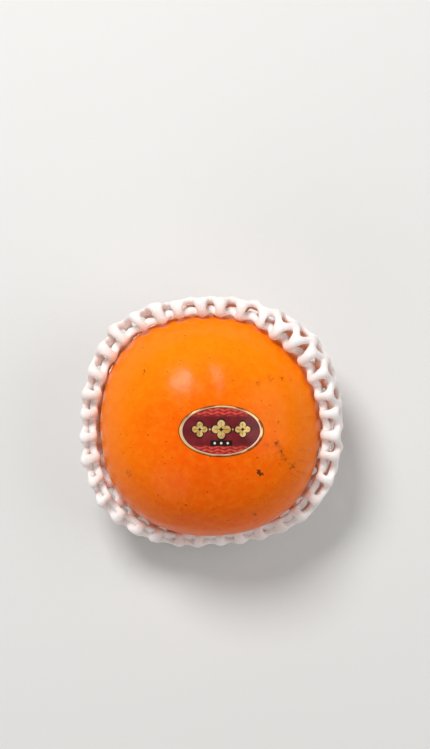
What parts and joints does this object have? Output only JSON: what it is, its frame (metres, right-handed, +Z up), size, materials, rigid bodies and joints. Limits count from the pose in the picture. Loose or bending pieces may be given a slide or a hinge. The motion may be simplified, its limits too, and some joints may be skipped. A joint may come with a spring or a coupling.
{
  "type": "persimmon",
  "caption": "Large flat persimmon resting calyx down, with a plain oval sticker on its blossom end and a folded foam fruit net round its lower half.",
  "frame": {"origin": "On the surface that the part rests on, under the middle of the part's box. The fruit's own axis is within 3 mm of it.", "axes": "+Z up, from the calyx to the blossom end. +X along the sticker's length, the picture's right. +Y is the picture's up."},
  "size_m": [0.1092, 0.1048, 0.0656],
  "materials": {
    "fruit_skin": "smooth waxy persimmon skin, satin, orange, yellower towards the rim and redder round the blossom end, with fine dark specks",
    "calyx": "dry leathery calyx, olive to brown, matt, with fine veins",
    "stem": "cut woody stalk, matt brown, paler on the cut",
    "sticker": "glossy printed sticker, maroon field with a plain gold ornament, brick red above and below, gold foil edge",
    "foam": "soft white expanded foam, matt, a little translucent"
  },
  "bodies": {
    "root": {"fruit": "fruit_skin", "calyx": "calyx", "stem": "stem", "label": "sticker", "foam_net": "foam"}
  },
  "joints": []
}
